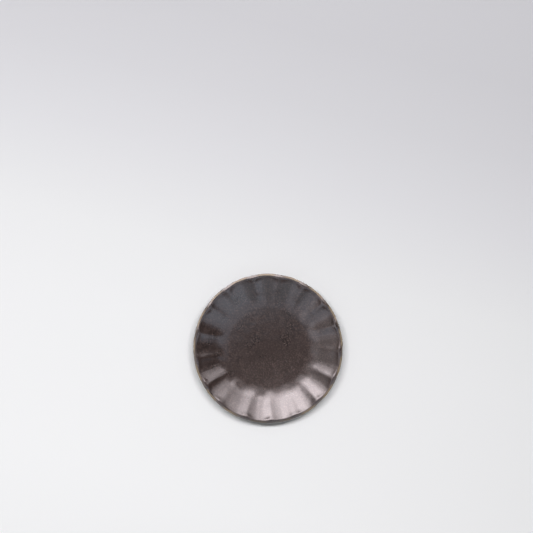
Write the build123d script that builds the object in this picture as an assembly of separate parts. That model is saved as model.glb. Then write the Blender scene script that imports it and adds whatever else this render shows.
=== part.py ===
from build123d import *
import math
import os

# A small round sauce dish of pressed stoneware: a shallow well, a flared wall pressed into flutes,
# a glaze over all of it that breaks to a thin tan band on the lip, and a bare foot ring below.
# Millimetres. The axis is Z, the dish stands on its foot at z = 0, and the face is up.

# Overall size
rim_diameter = 91.0
height = 22.0

# Dish wall, measured over the glaze
base_thickness = 4.0
well_radius = 24.0
well_dip = 1.9
knuckle_share = 0.78
lip_thickness = 2.9
heel_setback = 0.9
heel_radius = 8.0

# Flutes pressed into the inside of the wall, and the grooves behind the ridges between them
flute_count = 17
flute_depth = 1.5
flute_toe_depth = 0.8
flute_toe_share = 0.55
ridge_width = 1.4
first_flute_angle = 7.7
groove_depth = 0.4
groove_radius = 12.0

# Glaze
glaze_thickness = 0.3
rim_band = 1.6

# Foot ring
foot_diameter = 44.0
foot_height = 3.2
foot_width = 3.4
foot_taper = 0.7
foot_edge_radius = 0.7


def along(slope):
    """Unit vector up a slope, in the section."""
    return Vector(math.cos(slope), math.sin(slope))


def inward(slope):
    """Unit vector square to a slope, towards the hollow, in the section."""
    return Vector(-math.sin(slope), math.cos(slope))


def slope_over(low_centre, low_radius, high_centre, high_radius):
    """Slope of the line under one round and over another, or under both if its radius is negative."""
    run = high_centre - low_centre
    return math.atan2(run.Y, run.X) + math.asin((low_radius + high_radius) / run.length)


# Section points, with x the distance from the axis and y the height. Rounds and straights join smoothly,
# so a skin's thickness moves each joint square to its slope.
lip_radius = lip_thickness / 2
lip_centre = Vector(rim_diameter / 2 - lip_radius, height - lip_radius)
well_floor = Vector(0, foot_height + base_thickness)
well_slope = 2 * math.atan(well_dip / well_radius)
well_edge = well_floor + Vector(well_radius, well_dip)
knuckle_radius = knuckle_share * (lip_centre - well_edge).length
knuckle_centre = well_edge + knuckle_radius * inward(well_slope)
inner_slope = slope_over(knuckle_centre, knuckle_radius, lip_centre, lip_radius)
wall_foot = knuckle_centre - knuckle_radius * inward(inner_slope)
inner_touch = lip_centre + lip_radius * inward(inner_slope)
underside = Vector(0, foot_height)
heel_edge = underside + Vector(foot_diameter / 2 + heel_setback, 0)
heel_centre = heel_edge + heel_radius * inward(0)
outer_slope = slope_over(heel_centre, heel_radius, lip_centre, -lip_radius)
heel_top = heel_centre - heel_radius * inward(outer_slope)
outer_touch = lip_centre - lip_radius * inward(outer_slope)
flute_toe_radius = flute_toe_share * knuckle_radius
flute_pitch = 360 / flute_count


def turned(*outline):
    """Solid turned about Z from the half section that an outline closes."""
    return revolve(Plane.XZ * make_face(outline), Axis.Z)


def laid_along(slope, start, away):
    """Plane at a section point with Z up a slope, and X into the hollow or, if away is -1, outwards."""
    run = along(slope)
    side = away * inward(slope)
    return Plane((start.X, 0, start.Y), x_dir=(side.X, 0, side.Y), z_dir=(run.X, 0, run.Y))


def plain_dish(skin):
    """The dish before its flutes are pressed, inside its surface by a skin's thickness."""
    floor = well_floor - skin * inward(0)
    edge = well_edge - skin * inward(well_slope)
    wall_low = wall_foot - skin * inward(inner_slope)
    wall_high = inner_touch - skin * inward(inner_slope)
    back_high = outer_touch + skin * inward(outer_slope)
    back_low = heel_top + skin * inward(outer_slope)
    heel = heel_edge + skin * inward(0)
    below = underside + skin * inward(0)
    return turned(
        TangentArc(floor, edge, tangent=along(0)),
        TangentArc(edge, wall_low, tangent=along(well_slope)),
        Line(wall_low, wall_high),
        TangentArc(back_high, wall_high, tangent=along(outer_slope)),
        Line(back_high, back_low),
        TangentArc(heel, back_low, tangent=along(0)),
        Line(heel, below),
        Line(below, floor),
    )


def flute_bar(skin):
    """Round bar lying in one flute, deepest at the lip, with a rounded toe that lifts out of the wall."""
    half_width = math.pi * inner_touch.X / flute_count - ridge_width / 2
    radius = (half_width**2 + flute_depth**2) / (2 * flute_depth)
    start = wall_foot - flute_toe_depth * inward(inner_slope)
    slope = inner_slope - math.atan((flute_depth - flute_toe_depth) / (inner_touch - wall_foot).length)
    toe_centre = Vector(radius - flute_toe_radius, 0)
    toe_end = toe_centre + (flute_toe_radius + skin) * along(-math.pi / 3)
    top = Vector(radius + skin, rim_diameter)
    bar = turned(
        Polyline((0, top.Y), top, (top.X, 0)),
        TangentArc((top.X, 0), toe_end, tangent=(0, -1)),
        Polyline(toe_end, (0, toe_end.Y - toe_end.X / math.tan(math.pi / 3)), (0, top.Y)),
    )
    return laid_along(slope, start + radius * inward(slope), 1) * bar


def groove_bar(skin):
    """Thin bar lying against the outside of the wall: it leaves a groove that fades out at the heel."""
    slope = outer_slope + math.asin(groove_depth / (outer_touch - heel_top).length)
    bar = Cylinder(groove_radius + skin, rim_diameter, align=(Align.CENTER, Align.CENTER, Align.MIN))
    return laid_along(slope, heel_top - groove_radius * inward(slope), -1) * bar


def dish(skin):
    """The fluted dish without its foot, inside its surface by a skin's thickness."""
    body = plain_dish(skin)
    flute = flute_bar(skin)
    groove = groove_bar(skin)
    for k in range(flute_count):
        angle = first_flute_angle + k * flute_pitch
        body -= Rot(Z=angle) * flute
        body -= Rot(Z=angle + flute_pitch / 2) * groove
    return body


def foot_ring():
    """Tapered ring whose top is luted to the clay and whose rounded lower edges stay bare."""
    top = foot_height + glaze_thickness
    outer = foot_diameter / 2
    inner = outer - foot_width
    low_outer = (outer - foot_taper, 0)
    low_inner = (inner + foot_taper, 0)
    half = make_face(Polyline((inner, top), low_inner, low_outer, (outer, top), close=True))
    edges = half.vertices().group_by(Axis.Y)[0]
    return revolve(Plane.XZ * fillet(edges, foot_edge_radius), Axis.Z)


def lip_zone():
    """Ring that takes in the lip, down to a line square to the inside of the wall."""
    start = lip_centre + (lip_radius - rim_band) * along(inner_slope)
    across = lip_thickness * inward(inner_slope)
    past = lip_thickness * along(inner_slope)
    corners = [start + across, start - across, start - across + past, start + across + past]
    return turned(Polyline(*corners, close=True))


clay = dish(glaze_thickness)
foot = foot_ring()
coat = dish(0.0) - clay - foot
base_glaze, back_glaze, face_glaze = (coat - lip_zone()).solids().sort_by(Axis.Z)

pieces = {
    "dish_body": clay,
    "foot_ring": foot,
    "face_glaze": face_glaze,
    "rim_glaze": coat & lip_zone(),
    "back_glaze": back_glaze,
    "base_glaze": base_glaze,
}

os.makedirs("parts", exist_ok=True)
for name, piece in pieces.items():
    export_step(piece, f"parts/{name}.step")
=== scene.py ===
import math

import bmesh
import bpy
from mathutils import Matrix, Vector


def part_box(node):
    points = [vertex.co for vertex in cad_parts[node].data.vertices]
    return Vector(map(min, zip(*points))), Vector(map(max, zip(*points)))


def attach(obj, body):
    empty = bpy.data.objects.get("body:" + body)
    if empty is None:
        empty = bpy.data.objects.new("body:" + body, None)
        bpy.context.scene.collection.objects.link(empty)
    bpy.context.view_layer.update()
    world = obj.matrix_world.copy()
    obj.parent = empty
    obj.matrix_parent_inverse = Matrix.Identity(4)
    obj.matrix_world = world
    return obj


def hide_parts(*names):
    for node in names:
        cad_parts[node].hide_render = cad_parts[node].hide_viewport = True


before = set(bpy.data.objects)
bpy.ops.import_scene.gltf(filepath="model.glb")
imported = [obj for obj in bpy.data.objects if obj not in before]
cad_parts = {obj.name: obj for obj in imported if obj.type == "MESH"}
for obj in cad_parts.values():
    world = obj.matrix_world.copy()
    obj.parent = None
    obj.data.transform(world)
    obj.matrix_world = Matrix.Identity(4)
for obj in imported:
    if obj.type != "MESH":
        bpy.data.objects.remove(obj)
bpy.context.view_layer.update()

# Pressed clay
# The body is stoneware pressed over a mould: a shallow well, a flared wall with a hand-pressed flute
# between each pair of ridges, and a thin rounded lip. Glaze covers all of it.
mm = 0.001
glaze_thickness = 0.3 * mm
rim_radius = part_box("rim_glaze")[1][0]
rim_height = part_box("rim_glaze")[1][2]
rim_band = 0.6 * mm
underside_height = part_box("base_glaze")[0][2]
well_floor_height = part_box("face_glaze")[0][2] + glaze_thickness
foot_outer_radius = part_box("foot_ring")[1][0]
foot_inner_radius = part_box("base_glaze")[1][0]
well_radius = 24 * mm
well_dip = 1.9 * mm
knuckle_share = 0.78
lip_radius = 1.7 * mm
lip_land_start = math.radians(4)
lip_land_end = math.radians(50)
lip_thinning = 0.25
heel_setback = 0.9 * mm
heel_radius = 8 * mm

flute_depth = 1.5 * mm
flute_toe_depth = 0.65 * mm
flute_toe_share = 0.66
flute_fade_power = 4
ridge_width = 1.2 * mm
ridge_flare = 0.8 * mm
ridge_flare_length = 3 * mm
lip_fullness = 0.17
lip_fullness_length = 4 * mm
groove_depth = 0.25 * mm
groove_lift = groove_depth / 8
groove_spread = 0.006  # 1 minus the cosine of a groove's half angle
first_ridge_angle = -2.9

# What the hand does differently at each ridge: its shift in degrees, how softly it is rounded in
# millimetres, and how full the flute after it is.
ridge_wander = (
    0.9, 0.7, -0.5, -0.6, -1.3, -1.0, 0.8, -0.4, 0.5,
    0.3, 1.1, -1.5, 0.2, 0.6, -1.6, -0.8, -0.9,
)
ridge_softness = (
    0.16, 0.16, 0.2, 0.16, 0.2, 0.16, 0.16, 0.3, 0.16,
    0.2, 0.14, 0.45, 0.16, 0.22, 0.5, 0.34, 0.2,
)
flute_fullness = (
    0.97, 1.02, 1.0, 0.94, 1.0, 0.96, 0.78, 1.0, 0.72,
    1.0, 0.95, 0.8, 1.04, 0.78, 1.0, 1.04, 1.0,
)
flute_count = len(ridge_wander)
ridge_angles = [
    math.radians(first_ridge_angle + k * 360 / flute_count + wander)
    for k, wander in enumerate(ridge_wander)
]
steps_per_flute = 32
merge_distance = 0.001 * mm

clay_dark = (0.19, 0.13, 0.085, 1)
clay_pale = (0.33, 0.24, 0.16, 1)
iron_fleck = (0.06, 0.035, 0.02, 1)


def along(slope):
    """Unit vector up a slope, in the XZ section."""
    return Vector((math.cos(slope), 0, math.sin(slope)))


def inward(slope):
    """Unit vector square to a slope, towards the hollow, in the XZ section."""
    return Vector((-math.sin(slope), 0, math.cos(slope)))


def slope_over(low_centre, low_radius, high_centre, high_radius):
    """Slope of the line under one round and over another, or under both if its radius is negative."""
    run = high_centre - low_centre
    return math.atan2(run.z, run.x) + math.asin((low_radius + high_radius) / run.length)


lip_centre = Vector((rim_radius - lip_radius, 0, rim_height - lip_radius - groove_lift))
well_floor = Vector((0, 0, well_floor_height))
well_arc_radius = (well_radius**2 + well_dip**2) / (2 * well_dip)
well_centre = well_floor + Vector((0, 0, well_arc_radius))
well_slope = 2 * math.atan(well_dip / well_radius)
well_edge = well_floor + Vector((well_radius, 0, well_dip))
knuckle_radius = knuckle_share * (lip_centre - well_edge).length
knuckle_centre = well_edge + knuckle_radius * inward(well_slope)
inner_slope = slope_over(knuckle_centre, knuckle_radius, lip_centre, lip_radius)
heel_centre = Vector((foot_outer_radius + heel_setback, 0, underside_height + heel_radius))
outer_slope = slope_over(heel_centre, heel_radius, lip_centre, -lip_radius)
wall_foot = knuckle_centre - knuckle_radius * inward(inner_slope)
wall_length = (lip_centre - wall_foot).dot(along(inner_slope))
toe_lift = (1 / (flute_toe_share * knuckle_radius) - 1 / knuckle_radius) / 2
toe_length = math.sqrt(flute_toe_depth / toe_lift)
flute_start = -1.5 * toe_length


def carry_round(bm, wire_end, centre, turn, steps):
    """Carries a wire on round a centre in the XZ section; a positive turn is to the left."""
    made = bmesh.ops.spin(
        bm, geom=[wire_end], cent=centre, axis=(0, 1, 0), dvec=(0, 0, 0),
        angle=-turn, steps=steps, use_merge=False,
    )
    return made["geom_last"][0]


def carry_straight(bm, wire_end, point, steps):
    """Carries a wire on to a point in equal steps."""
    step = (point - wire_end.co) / steps
    for _ in range(steps):
        wire_end = bmesh.ops.extrude_vert_indiv(bm, verts=[wire_end])["verts"][0]
        bmesh.ops.translate(bm, verts=[wire_end], vec=step)
    return wire_end


def turn_full(bm, steps):
    """Turns a section once round the dish's axis into a skin that faces outwards."""
    bmesh.ops.spin(
        bm, geom=bm.verts[:] + bm.edges[:], cent=(0, 0, 0), axis=(0, 0, 1), dvec=(0, 0, 0),
        angle=math.tau, steps=steps, use_merge=True,
    )
    bmesh.ops.remove_doubles(bm, verts=bm.verts, dist=merge_distance)
    bmesh.ops.recalc_face_normals(bm, faces=bm.faces)


def clamped(value):
    """A value held between 0 and 1."""
    return min(max(value, 0), 1)


def flute_dip(run, radius, angle):
    """Depth of the flutes at a distance up the wall, a radius and an angle."""
    middle = flute_toe_depth + (flute_depth - flute_toe_depth) * run / wall_length
    if run < 0:
        middle = flute_toe_depth - toe_lift * run * run
    closing = clamped(1 + (run - wall_length) / lip_fullness_length)
    middle *= 1 - lip_fullness * closing * closing
    flare = clamped(1 + (run - wall_length) / ridge_flare_length)
    width = ridge_width + ridge_flare * flare * flare
    dip = 0
    for k, fullness in enumerate(flute_fullness):
        after = (k + 1) % flute_count
        pitch = (ridge_angles[after] - ridge_angles[k]) % math.tau
        aside = (angle - ridge_angles[k] - pitch / 2 + math.pi) % math.tau - math.pi
        if abs(aside) < pitch:
            half_width = (lip_centre.x * pitch - width) / 2
            below = fullness * (middle - flute_depth * (radius * aside / half_width) ** 2)
            softness = ridge_softness[k] * mm * clamped(0.5 - aside / pitch)
            softness += ridge_softness[after] * mm * clamped(0.5 + aside / pitch)
            fade = 1 - (aside / pitch) ** flute_fade_power
            dip += fade * (below + math.hypot(below, softness)) / 2
    return dip


def press(bm):
    """Presses the flutes and grooves into the turned form, and keeps how far each vertex is from the
    lip and how deep in a flute."""
    from_lip = bm.verts.layers.float.new("from_lip")
    hollow = bm.verts.layers.float.new("hollow")
    for vert in bm.verts:
        angle = math.atan2(vert.co.y, vert.co.x)
        radius = math.hypot(vert.co.x, vert.co.y)
        offset = Vector((radius, 0, vert.co.z)) - lip_centre
        up = offset.dot(along(inner_slope))
        run = up + wall_length
        vert[from_lip] = lip_radius - up
        if run < flute_start:
            continue
        dip = flute_dip(run, radius, angle)
        vert[hollow] = dip / flute_depth
        inner_share = clamped(0.5 + offset.dot(inward(inner_slope)) / (2 * lip_radius))
        moved = -inner_share * dip * inward(inner_slope)
        if up > 0:
            moved -= lip_thinning * up * dip / lip_radius * along(inner_slope)
        if run > 0:
            ridge = max(math.cos(angle - ridge_angle) for ridge_angle in ridge_angles)
            groove = groove_depth * run / wall_length * max(0, 1 - (1 - ridge) / groove_spread)
            moved += (1 - inner_share) * groove * inward(outer_slope)
        vert.co.x += moved.x * math.cos(angle)
        vert.co.y += moved.x * math.sin(angle)
        vert.co.z += moved.z


def dish_skin():
    """The dish's whole outer skin, turned from its section and pressed."""
    band_top = lip_centre + lip_radius * inward(inner_slope)
    band_bottom = band_top - rim_band * along(inner_slope)
    land_edge = lip_centre + lip_radius * Vector((math.sin(lip_land_end), 0, math.cos(lip_land_end)))
    heel_top = heel_centre - heel_radius * inward(outer_slope)
    bm = bmesh.new()
    end = bm.verts.new(well_floor)
    end = carry_round(bm, end, well_centre, well_slope, steps=18)
    end = carry_round(bm, end, knuckle_centre, inner_slope - well_slope, steps=8)
    end = carry_straight(bm, end, band_bottom, steps=24)
    end = carry_straight(bm, end, band_top, steps=4)
    end = carry_round(bm, end, lip_centre, -inner_slope - lip_land_start, steps=7)
    end = carry_straight(bm, end, land_edge, steps=5)
    end = carry_round(bm, end, lip_centre, lip_land_end + outer_slope - math.pi, steps=8)
    end = carry_straight(bm, end, end.co - rim_band * along(outer_slope), steps=4)
    end = carry_straight(bm, end, heel_top, steps=16)
    end = carry_round(bm, end, heel_centre, -outer_slope, steps=8)
    for radius, steps in ((foot_outer_radius, 1), (foot_inner_radius, 2), (0, 6)):
        end = carry_straight(bm, end, Vector((radius, 0, underside_height)), steps)
    turn_full(bm, steps_per_flute * flute_count)
    press(bm)
    bm.normal_update()
    return bm


def place_object(name, data):
    """Puts a new object, with its mesh or other data, into the scene."""
    thing = bpy.data.objects.new(name, data)
    bpy.context.scene.collection.objects.link(thing)
    return thing


def finish_piece(name, bm, material, node):
    """Makes a smooth-shaded piece of a bmesh, which stands for a node of the frame."""
    for face in bm.faces:
        face.smooth = True
    mesh = bpy.data.meshes.new(name)
    bm.to_mesh(mesh)
    bm.free()
    mesh.materials.append(material)
    piece = place_object(name, mesh)
    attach(piece, "root")
    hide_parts(node)
    return piece


def new_material(name):
    """A new material, with its tree of nodes and its shader."""
    material = bpy.data.materials.new(name)
    material.use_nodes = True
    return material, material.node_tree, material.node_tree.nodes["Principled BSDF"]


def feed(tree, node, inputs):
    """Gives each of a node's inputs its value, or the output of another node to follow."""
    for socket, value in inputs.items():
        if isinstance(value, bpy.types.NodeSocket):
            tree.links.new(value, node.inputs[socket])
        else:
            node.inputs[socket].default_value = value


def add_node(tree, kind, settings, inputs):
    """Adds a node to a tree, with its settings and inputs."""
    node = tree.nodes.new(kind)
    for name, value in settings.items():
        setattr(node, name, value)
    feed(tree, node, inputs)
    return node


def object_place(tree):
    """Where a point lies on the piece, in the piece's own coordinates."""
    return add_node(tree, "ShaderNodeTexCoord", {}, {}).outputs["Object"]


def noise(tree, place, scale, detail):
    """Soft noise with so many waves to a metre, and so many finer layers."""
    inputs = {"Vector": place, "Scale": scale, "Detail": detail}
    return add_node(tree, "ShaderNodeTexNoise", {}, inputs).outputs["Fac"]


def spread(tree, value, low, high, first=0, last=1, easing="LINEAR"):
    """A value that goes from first to last while another goes from low to high."""
    inputs = {"Value": value, "From Min": low, "From Max": high, "To Min": first, "To Max": last}
    return add_node(tree, "ShaderNodeMapRange", {"interpolation_type": easing}, inputs).outputs["Result"]


def mixed(tree, share, base, other, kind="RGBA"):
    """A colour or value that gives way to another by a share."""
    inputs = {"Factor": share, "A": base, "B": other}
    return add_node(tree, "ShaderNodeMix", {"data_type": kind}, inputs).outputs["Result"]


def tones(tree, value, *stops):
    """Colour that follows a value through stops, each a position and a colour."""
    ramp = add_node(tree, "ShaderNodeValToRGB", {}, {"Fac": value})
    elements = ramp.color_ramp.elements
    for element, (position, colour) in zip(elements, (stops[0], stops[-1])):
        element.position = position
        element.color = colour
    for position, colour in stops[1:-1]:
        elements.new(position).color = colour
    return ramp.outputs["Color"]


def bumped(tree, height, strength, distance):
    """Normal of a surface that is raised by a height."""
    inputs = {"Height": height, "Strength": strength, "Distance": distance}
    return add_node(tree, "ShaderNodeBump", {}, inputs).outputs["Normal"]


def stoneware_material():
    """Bare fired stoneware: tan clay with dark iron flecks and a dry, grainy surface."""
    material, tree, shader = new_material("bare_stoneware")
    place = object_place(tree)
    clay = tones(tree, noise(tree, place, scale=180, detail=4), (0.35, clay_dark), (0.68, clay_pale))
    iron = add_node(tree, "ShaderNodeTexVoronoi", {}, {"Vector": place, "Scale": 900})
    fleck = spread(tree, iron.outputs["Distance"], low=0.16, high=0.3, first=1, last=0)
    grain = noise(tree, place, scale=2200, detail=3)
    feed(tree, shader, {
        "Base Color": mixed(tree, fleck, clay, iron_fleck),
        "Roughness": 0.85,
        "Normal": bumped(tree, grain, strength=0.5, distance=0.1 * mm),
    })
    return material


skin = dish_skin()
bare_stoneware = stoneware_material()
clay_form = skin.copy()
for vert in clay_form.verts:
    vert.co -= glaze_thickness * vert.normal
finish_piece("clay_body", clay_form, bare_stoneware, "dish_body")

# Foot ring
# A tapered ring of the same clay, luted to the underside and wiped clean of glaze, on which the dish
# stands. Its lower edges are sponged round.
foot_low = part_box("foot_ring")[0][2]
foot_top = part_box("foot_ring")[1][2]
foot_taper = 0.7 * mm
foot_width = 3.4 * mm
foot_edge_radius = 0.7 * mm
foot_steps = 192
foot_tolerance = 0.01 * mm

foot_form = bmesh.new()
foot_start = foot_form.verts.new((foot_outer_radius, 0, foot_top))
foot_end = foot_start
for radius, height in (
    (foot_outer_radius - foot_taper, foot_low),
    (foot_outer_radius - foot_width + foot_taper, foot_low),
    (foot_outer_radius - foot_width, foot_top),
):
    foot_end = carry_straight(foot_form, foot_end, Vector((radius, 0, height)), steps=1)
foot_form.edges.new((foot_end, foot_start))
turn_full(foot_form, foot_steps)
foot_edges = [
    edge for edge in foot_form.edges
    if all(abs(vert.co.z - foot_low) < foot_tolerance for vert in edge.verts)
    and abs(edge.verts[0].co.xy.length - edge.verts[1].co.xy.length) < foot_tolerance
]
bmesh.ops.bevel(
    foot_form, geom=foot_edges, offset=foot_edge_radius, offset_type="OFFSET",
    segments=4, profile=0.5, affect="EDGES", material=-1,
)
finish_piece("bare_foot", foot_form, bare_stoneware, "foot_ring")

# Face glaze
# A dark brown iron glaze over the well and the flutes, glossy, finely speckled and a little mottled,
# poured on and about a third of a millimetre thick.
glaze_dark = (0.0165, 0.0083, 0.0068, 1)
glaze_brown = (0.024, 0.0124, 0.0098, 1)
glaze_speck = (0.103, 0.068, 0.059, 1)
glaze_tan = (0.2, 0.15, 0.09, 1)
glossy_roughness = 0.24
mottled_roughness = 0.33
dry_roughness = 0.6
glaze_index = 2
speck_height = 0.05
break_start = rim_radius - 1.1 * mm
break_end = rim_radius - 0.4 * mm
break_waver = 0.7 * mm
# Painted shade: the lip's tan is painted darker on the near side of the dish, between these two places
# along Y, down to this share.
painted_shade_y_low = -0.98 * rim_radius
painted_shade_y_high = -0.8 * rim_radius
shaded_tan_share = 0.3
ridge_tan_share = 0.25


def arithmetic(tree, operation, *values):
    """Value worked out from other values."""
    inputs = dict(enumerate(values))
    return add_node(tree, "ShaderNodeMath", {"operation": operation}, inputs).outputs["Value"]


def glaze_tones():
    """Node group for the iron glaze: its speckled brown, its tan break at the lip with painted shade on
    the near side, gloss and height.
    """
    group = bpy.data.node_groups.new("iron_glaze", "ShaderNodeTree")
    for name, side, kind in (
        ("Place", "INPUT", "NodeSocketVector"),
        ("Hollow", "INPUT", "NodeSocketFloat"),
        ("Color", "OUTPUT", "NodeSocketColor"),
        ("Roughness", "OUTPUT", "NodeSocketFloat"),
        ("Height", "OUTPUT", "NodeSocketFloat"),
    ):
        group.interface.new_socket(name, in_out=side, socket_type=kind)
    given = add_node(group, "NodeGroupInput", {}, {})
    place = given.outputs["Place"]
    axes = add_node(group, "ShaderNodeSeparateXYZ", {}, {"Vector": place})
    level = add_node(group, "ShaderNodeVectorMath", {"operation": "MULTIPLY"}, {0: place, 1: (1, 1, 0)})
    flat = level.outputs["Vector"]
    ray = add_node(group, "ShaderNodeVectorMath", {"operation": "NORMALIZE"}, {0: flat})
    reach = add_node(group, "ShaderNodeVectorMath", {"operation": "LENGTH"}, {0: flat}).outputs["Value"]

    mottle = noise(group, place, scale=110, detail=3)
    speck = noise(group, place, scale=1250, detail=2)
    brown = tones(group, mottle, (0.3, glaze_dark), (0.7, glaze_brown))
    speckled = mixed(group, spread(group, speck, low=0.46, high=0.76), brown, glaze_speck)

    waver = noise(group, place, scale=400, detail=3)
    wavered = arithmetic(group, "MULTIPLY_ADD", waver, break_waver, reach)
    breaking = spread(group, wavered, break_start, break_end, easing="SMOOTHSTEP")
    # Painted shade: a share of the tan that drops on the near side of the lip.
    painted_near_shade = spread(
        group, axes.outputs["Y"], painted_shade_y_low, painted_shade_y_high, first=shaded_tan_share, easing="SMOOTHSTEP"
    )
    thin = spread(
        group, given.outputs["Hollow"], low=0.15, high=0.7, first=ridge_tan_share, easing="SMOOTHSTEP"
    )
    tan_share = arithmetic(group, "MULTIPLY", arithmetic(group, "MULTIPLY", breaking, painted_near_shade), thin)
    gloss = spread(group, mottle, low=0, high=1, first=glossy_roughness, last=mottled_roughness)

    swell = noise(group, place, scale=160, detail=1)
    stroke = noise(group, ray.outputs["Vector"], scale=9, detail=2)
    on_wall = spread(group, reach, well_radius, wall_foot.x, easing="SMOOTHSTEP")
    uneven = arithmetic(group, "MULTIPLY_ADD", stroke, on_wall, swell)
    add_node(group, "NodeGroupOutput", {}, {
        "Color": mixed(group, tan_share, speckled, glaze_tan),
        "Roughness": mixed(group, tan_share, gloss, dry_roughness, kind="FLOAT"),
        "Height": arithmetic(group, "MULTIPLY_ADD", speck, speck_height, uneven),
    })
    return group


iron_glaze = glaze_tones()


def glaze_material(name):
    """Glossy glaze in the iron glaze's tones."""
    material, tree, shader = new_material(name)
    hollow = add_node(tree, "ShaderNodeAttribute", {"attribute_name": "hollow"}, {})
    glaze = add_node(tree, "ShaderNodeGroup", {"node_tree": iron_glaze}, {
        "Place": object_place(tree),
        "Hollow": hollow.outputs["Fac"],
    })
    feed(tree, shader, {
        "Base Color": glaze.outputs["Color"],
        "Roughness": glaze.outputs["Roughness"],
        "IOR": glaze_index,
        "Normal": bumped(tree, glaze.outputs["Height"], strength=0.6, distance=0.35 * mm),
    })
    return material


def glaze_piece(name, covers, material, node):
    """Cuts a stretch of glaze from the dish's skin, where covers says so, and gives it thickness."""
    form = skin.copy()
    bare = [face for face in form.faces if not covers(form, face)]
    bmesh.ops.delete(form, geom=bare, context="FACES")
    for edge in form.edges:
        edge.smooth = not edge.is_boundary
    piece = finish_piece(name, form, material, node)
    coat = piece.modifiers.new("glaze_thickness", "SOLIDIFY")
    coat.thickness = glaze_thickness
    coat.offset = -1


def on_lip(form, face):
    """The band along the lip, where the glaze breaks."""
    from_lip = form.verts.layers.float["from_lip"]
    return sum(vert[from_lip] for vert in face.verts) / len(face.verts) < lip_radius + rim_band


def on_face(form, face):
    """The inside of the dish below the lip."""
    return not on_lip(form, face) and face.normal.z > 0


dark_glaze = glaze_material("dark_glaze")
glaze_piece("face_gloss", on_face, dark_glaze, "face_glaze")

# Rim glaze
# The band of the same glaze along the lip. It runs thin off the edge as it melts, so it breaks to tan
# between the ridges and stays darker on them, where the lip is thicker. On the near side of the dish
# the tan is also painted darker, as painted shade.
glaze_piece("lip_gloss", on_lip, glaze_material("breaking_glaze"), "rim_glaze")

# Back glaze
# The same glaze over the outside of the wall. It is poured on with the dish face down, and wiped back
# to a clean line at the foot ring.


def on_back(form, face):
    """The outside of the dish below the lip, as far in as the foot."""
    middle = face.calc_center_median()
    return not on_lip(form, face) and face.normal.z < 0 and middle.xy.length > foot_outer_radius


glaze_piece("back_gloss", on_back, dark_glaze, "back_glaze")

# Base glaze
# The disc of the same glaze inside the foot ring, which stays on because it is clear of the shelf that
# the dish is fired on.


def on_base(form, face):
    """The underside within the foot."""
    middle = face.calc_center_median()
    return face.normal.z < 0 and middle.xy.length < foot_inner_radius


glaze_piece("base_gloss", on_base, dark_glaze, "base_glaze")
skin.free()

# Floor
# A plain pale ground on which the dish stands, with painted shade that makes it a little darker
# towards the far right. It is one wide matt sheet.
floor_half_size = 4
floor_near = -0.1
floor_far = 0.2
floor_lean = 0.25
floor_side = 0.17
floor_side_shade = 0.91
# Painted shade: the ground's colour steps darker with depth, and is scaled darker to the right.
floor_shade_stops = (
    (0, (0.93, 0.93, 0.943, 1)),
    (0.35, (0.885, 0.885, 0.9, 1)),
    (0.5, (0.85, 0.85, 0.865, 1)),
    (0.7, (0.755, 0.75, 0.78, 1)),
    (0.85, (0.695, 0.688, 0.72, 1)),
    (1, (0.66, 0.652, 0.685, 1)),
)


def ground_material():
    """Matt pale paint, darkened with depth and to the right by painted shade."""
    material, tree, shader = new_material("pale_ground")
    axes = add_node(tree, "ShaderNodeSeparateXYZ", {}, {"Vector": object_place(tree)})
    depth = arithmetic(tree, "MULTIPLY_ADD", axes.outputs["X"], floor_lean, axes.outputs["Y"])
    tone = tones(tree, spread(tree, depth, floor_near, floor_far), *floor_shade_stops)
    side_shade = spread(tree, axes.outputs["X"], -floor_side, floor_side, first=1, last=floor_side_shade)
    paint = add_node(tree, "ShaderNodeVectorMath", {"operation": "SCALE"}, {0: tone, "Scale": side_shade})
    feed(tree, shader, {
        "Base Color": paint.outputs["Vector"],
        "Roughness": 1,
        "Specular IOR Level": 0,
    })
    return material


floor_form = bmesh.new()
bmesh.ops.create_grid(floor_form, x_segments=1, y_segments=1, size=floor_half_size)
floor_mesh = bpy.data.meshes.new("floor")
floor_form.to_mesh(floor_mesh)
floor_form.free()
floor_mesh.materials.append(ground_material())
floor = place_object("floor", floor_mesh)

# Lights
# A soft lamp and a wide fill above light the floor and the dish. Pale cards around the dish are what its
# glaze mirrors: bright ones beyond the far rim, and dim ones in front and to the left.
white = (1, 1, 1)
warm_white = (1, 0.9, 0.926)
cool_white = (0.72, 0.86, 1)
room_brightness = 0.075


def lamp(name, place, size, radiance, tint):
    """Rectangular soft lamp that faces the dish, as bright as a surface of that radiance."""
    light = bpy.data.lights.new(name, "AREA")
    light.shape = "RECTANGLE"
    light.size, light.size_y = size
    light.energy = radiance * math.pi * size[0] * size[1]
    light.color = tint
    holder = place_object(name, light)
    holder.location = place
    holder.rotation_euler = (-Vector(place)).to_track_quat("-Z", "Y").to_euler()
    holder.visible_camera = False
    return holder


def towards(azimuth, polar, distance):
    """Place at a distance from the dish, by its azimuth from +X and its angle from straight up."""
    azimuth, polar = math.radians(azimuth), math.radians(polar)
    flat = distance * math.sin(polar)
    return flat * math.cos(azimuth), flat * math.sin(azimuth), distance * math.cos(polar)


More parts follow.
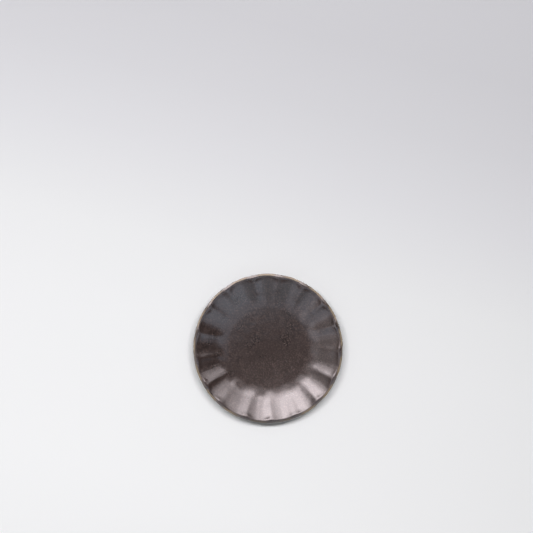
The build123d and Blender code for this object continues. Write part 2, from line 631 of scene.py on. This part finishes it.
for name, place, size, radiance in (
    ("soft_key", towards(92, 8, 1.3), (0.55, 0.1), 82),
    ("soft_fill", towards(0, 0, 1.4), (1.6, 1.6), 0.4),
):
    soft_lamp = lamp(name, place, size, radiance, white)
    soft_lamp.visible_glossy = False
for name, place, size, radiance, tint in (
    ("far_card", towards(105.5, 65, 1.0), (1.22, 0.93), 4.25, warm_white),
    ("far_card_centre", towards(114, 75, 1.0), (0.6, 0.54), 2.3, warm_white),
    ("far_card_glow", towards(100, 32, 1.0), (1.2, 0.42), 1.0, warm_white),
    ("far_left_card", towards(147, 70, 1.0), (0.28, 0.46), 2.7, warm_white),
    ("far_right_card", towards(65, 67, 1.0), (0.226, 0.84), 2.5, warm_white),
    ("far_right_edge", towards(46, 69, 1.0), (0.39, 0.54), 2.1, warm_white),
    ("far_right_fade", towards(27, 71, 1.0), (0.226, 0.46), 1.1, warm_white),
    ("front_card_low", towards(-90, 78, 0.8), (2.8, 0.28), 0.18, (0.82, 0.9, 1)),
    ("front_card_middle", towards(-90, 67, 0.8), (2.8, 0.55), 0.12, cool_white),
    ("front_card_high", towards(-90, 48, 0.8), (2.8, 1.18), 0.225, cool_white),
    ("front_right_card", towards(-45, 51, 0.8), (0.86, 1.1), 0.45, (0.8, 0.84, 1)),
    ("front_left_card", towards(-138, 58, 0.8), (0.7, 0.9), 0.4, (0.88, 0.84, 0.97)),
    ("left_card", towards(185, 58, 0.9), (0.9, 0.9), 0.5, (1, 0.92, 0.94)),
):
    card = lamp(name, place, size, radiance, tint)
    card.visible_diffuse = False

world = bpy.data.worlds.new("pale_room")
bpy.context.scene.world = world
world.use_nodes = True
room = world.node_tree.nodes["Background"]
feed(world.node_tree, room, {"Color": (*white, 1), "Strength": room_brightness})

# Camera
# A long lens straight above the face, as far to one side as the photograph puts the dish off centre.
picture_width = 533
dish_pixels = 149.6
dish_pixel_x = 268.05
dish_pixel_y = 348.4
camera_height = 1.3
metres_per_pixel = 2 * rim_radius / dish_pixels
view_width = picture_width * metres_per_pixel
camera_data = bpy.data.cameras.new("camera")
camera_data.sensor_width = 36
camera_data.lens = camera_data.sensor_width * (camera_height - lip_centre.z) / view_width
camera = place_object("camera", camera_data)
camera.location = (
    (picture_width / 2 - dish_pixel_x) * metres_per_pixel,
    (dish_pixel_y - picture_width / 2) * metres_per_pixel,
    camera_height,
)
bpy.context.scene.camera = camera
bpy.context.scene.view_settings.view_transform = "Standard"
